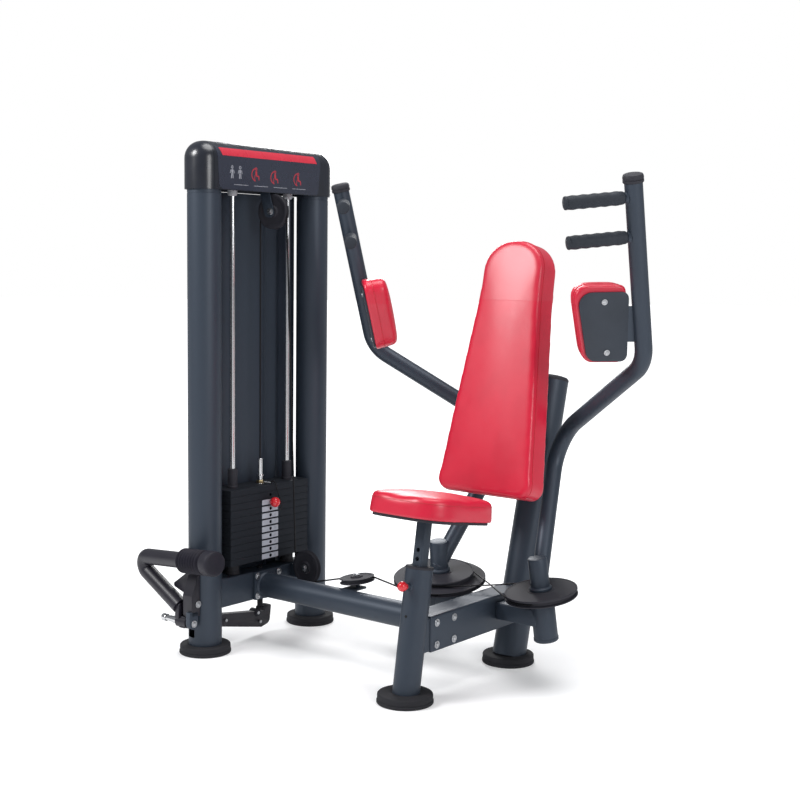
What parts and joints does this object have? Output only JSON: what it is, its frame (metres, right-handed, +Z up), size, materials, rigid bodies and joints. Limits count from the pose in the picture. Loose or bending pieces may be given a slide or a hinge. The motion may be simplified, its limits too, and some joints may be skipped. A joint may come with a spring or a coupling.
{
  "type": "pectoral fly machine",
  "caption": "Seated chest-fly gym machine: padded seat and back rest, two linked swinging arms with pads and hand grips, and a pin-selected weight tower.",
  "frame": {"origin": "centre of the underside of the seat post's foot, on the floor", "axes": "+Z up; +X from the weight tower towards the seat and the user's left; -Y the way the seated user faces; the arms mirror each other in the plane X = 0"},
  "size_m": [1.5136, 0.933, 1.55],
  "materials": {
    "frame_paint": "dark blue-grey powder coat, satin",
    "black_plastic": "black moulded plastic, satin",
    "plate_iron": "black painted weight plates",
    "chrome_rod": "polished chrome",
    "red_vinyl": "bright red vinyl over foam",
    "red_plastic": "glossy red knobs",
    "black_rubber": "black rubber and coated cable"
  },
  "bodies": {
    "frame": {"front_column": "frame_paint", "rear_column": "frame_paint", "lower_crossbeam": "frame_paint", "top_beam": "frame_paint", "rear_shroud": "frame_paint", "main_beam": "frame_paint", "seat_post": "frame_paint", "base_beam": "frame_paint", "rear_post": "frame_paint", "pivot_housing_left": "frame_paint", "pivot_housing_right": "frame_paint", "head_cover": "black_plastic", "guide_rod_front": "chrome_rod", "guide_rod_rear": "chrome_rod", "stack_cushion_front": "black_rubber", "stack_cushion_rear": "black_rubber", "front_column_foot": "black_rubber", "rear_column_foot": "black_rubber", "seat_post_foot": "black_rubber", "rear_post_foot": "black_rubber", "back_plate": "black_plastic", "back_pad": "red_vinyl", "lift_cable": "black_rubber", "sync_cable_upper": "black_rubber", "sync_cable_lower": "black_rubber", "stem_cable": "black_rubber", "lever_pin": "chrome_rod", "weight_plate_03": "plate_iron", "weight_plate_04": "plate_iron", "weight_plate_05": "plate_iron", "weight_plate_06": "plate_iron", "weight_plate_07": "plate_iron", "weight_plate_08": "plate_iron", "weight_plate_09": "plate_iron", "weight_plate_10": "plate_iron"},
    "carriage": {"head_plate": "plate_iron", "selector_stem": "chrome_rod", "weight_plate_01": "plate_iron", "weight_plate_02": "plate_iron", "pin_lanyard": "black_rubber"},
    "selector": {"selector_pin": "red_plastic"},
    "top_wheel": {"top_pulley": "black_plastic"},
    "lower_wheel": {"lower_pulley": "black_plastic"},
    "mid_wheel": {"mid_pulley": "black_plastic"},
    "seat": {"seat_tube": "frame_paint", "seat_pad": "red_vinyl"},
    "seat_lock": {"seat_plunger": "red_plastic"},
    "left_arm": {"arm_left": "frame_paint", "disc_left": "black_plastic", "arm_pad_left": "red_vinyl", "upper_grip_left": "black_rubber", "lower_grip_left": "black_rubber"},
    "right_arm": {"arm_right": "frame_paint", "disc_right": "black_plastic", "arm_pad_right": "red_vinyl", "upper_grip_right": "black_rubber", "lower_grip_right": "black_rubber"},
    "lever": {"lever_handle": "frame_paint", "lever_grip": "black_rubber"},
    "jack": {"lift_jack": "black_rubber"}
  },
  "joints": [
    {"name": "left_arm_swing", "type": "hinge", "parent": "frame", "child": "left_arm", "pos_m": [-0.1814, 0.3918, 0.2718], "axis": [0.0591, -0.1467, 0.9874], "range_deg": [0, 90]},
    {"name": "right_arm_swing", "type": "hinge", "parent": "frame", "child": "right_arm", "pos_m": [0.1814, 0.3918, 0.2718], "axis": [0.0591, 0.1467, -0.9874], "range_deg": [-2, 92]},
    {"name": "stack_lift", "type": "slide", "parent": "frame", "child": "carriage", "axis": [0, 0, 1], "range_m": [-0.0002, 0.216], "deforming": ["stem_cable"]},
    {"name": "selector_pull", "type": "slide", "parent": "carriage", "child": "selector", "axis": [1, 0, 0], "range_m": [0, 0.09]},
    {"name": "top_pulley_spin", "type": "hinge", "parent": "frame", "child": "top_wheel", "pos_m": [-0.71701, 0.22286, 1.35], "axis": [-0.1426, 0.9898, 0], "range_deg": [-5, 250]},
    {"name": "lower_pulley_spin", "type": "hinge", "parent": "frame", "child": "lower_wheel", "pos_m": [-0.65, 0.311, 0.2241], "axis": [0, 1, 0], "range_deg": [-250, 5]},
    {"name": "mid_pulley_spin", "type": "hinge", "parent": "frame", "child": "mid_wheel", "pos_m": [-0.3975, 0.2615, 0.234], "axis": [-0.1121, -0.0595, 0.9919], "range_deg": [-250, 5]},
    {"name": "seat_slide", "type": "slide", "parent": "frame", "child": "seat", "axis": [0, 0.1564, 0.9877], "range_m": [-0.1, 0.075]},
    {"name": "seat_lock_pull", "type": "slide", "parent": "frame", "child": "seat_lock", "axis": [0, -0.9877, 0.1564], "range_m": [0, 0.012], "stiffness_N_per_m": 500, "springref_m": -0.008},
    {"name": "lever_swing", "type": "hinge", "parent": "frame", "child": "lever", "pos_m": [-0.766, -0.095, 0.105], "axis": [1, 0, 0], "range_deg": [0, 6]},
    {"name": "jack_lift", "type": "slide", "parent": "frame", "child": "jack", "axis": [0, 0, 1], "range_m": [-0.0002, 0.0335]}
  ],
  "couplings": [
    {"joint": "right_arm_swing", "follows": "left_arm_swing", "ratio": 1},
    {"joint": "stack_lift", "follows": "left_arm_swing", "m_per_rad": 0.1345},
    {"joint": "top_pulley_spin", "follows": "left_arm_swing", "ratio": 2.7172},
    {"joint": "lower_pulley_spin", "follows": "left_arm_swing", "ratio": -2.7172},
    {"joint": "mid_pulley_spin", "follows": "left_arm_swing", "ratio": -2.7172},
    {"joint": "jack_lift", "follows": "lever_swing", "m_per_rad": 0.3108}
  ]
}
